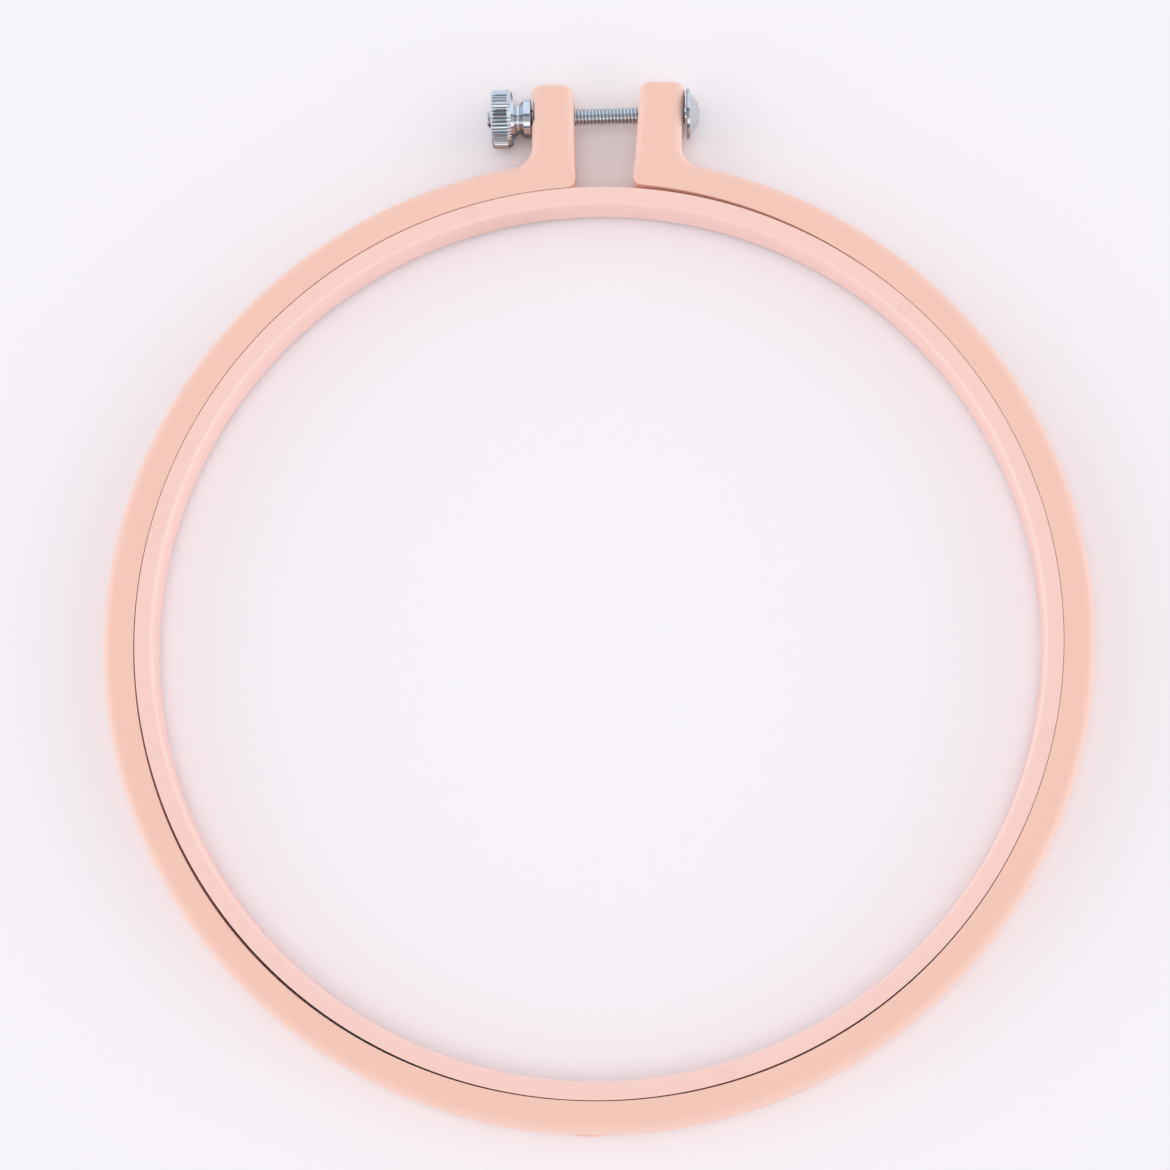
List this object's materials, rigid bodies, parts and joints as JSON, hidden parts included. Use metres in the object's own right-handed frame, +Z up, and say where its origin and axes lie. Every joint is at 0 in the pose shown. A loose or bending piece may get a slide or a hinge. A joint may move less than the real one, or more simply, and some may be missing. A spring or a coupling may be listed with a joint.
{
  "type": "embroidery hoop",
  "caption": "Round plastic embroidery hoop: a plain inner ring inside a split outer ring, closed by a screw and a knurled thumb nut.",
  "frame": {"origin": "centre of the inner ring, half-way up the rings, which is also the clamp screw's level", "axes": "+Z up, along the rings' axis; +Y from the centre to the clamp; +X to the right, towards the screw's head"},
  "size_m": [0.2137, 0.2329, 0.013],
  "materials": {
    "outer_plastic": "salmon pink injection-moulded plastic with a soft satin sheen",
    "inner_plastic": "the same pink plastic, a little paler, with a soft satin sheen",
    "screw_metal": "bright nickel-plated steel",
    "nut_metal": "bright nickel-plated, turned and knurled"
  },
  "bodies": {
    "outer_ring": {"outer_ring": "outer_plastic"},
    "inner_ring": {"inner_ring": "inner_plastic"},
    "clamp_screw": {"clamp_screw": "screw_metal"},
    "thumb_nut": {"thumb_nut": "nut_metal"}
  },
  "joints": [
    {"name": "nut_turn", "type": "hinge", "parent": "outer_ring", "child": "thumb_nut", "pos_m": [-0.01172, 0.11803, 0], "axis": [0.9996, 0.0289, 0], "range_deg": [-3780, 112]},
    {"name": "screw_travel", "type": "slide", "parent": "outer_ring", "child": "clamp_screw", "axis": [0.9996, 0.0289, 0], "range_m": [-0.00025, 0.0084]},
    {"name": "inner_lift", "type": "slide", "parent": "outer_ring", "child": "inner_ring", "axis": [0, 0, 1], "range_m": [0, 0.015]}
  ],
  "couplings": [
    {"joint": "screw_travel", "follows": "nut_turn", "m_per_rad": -0.00012633}
  ]
}
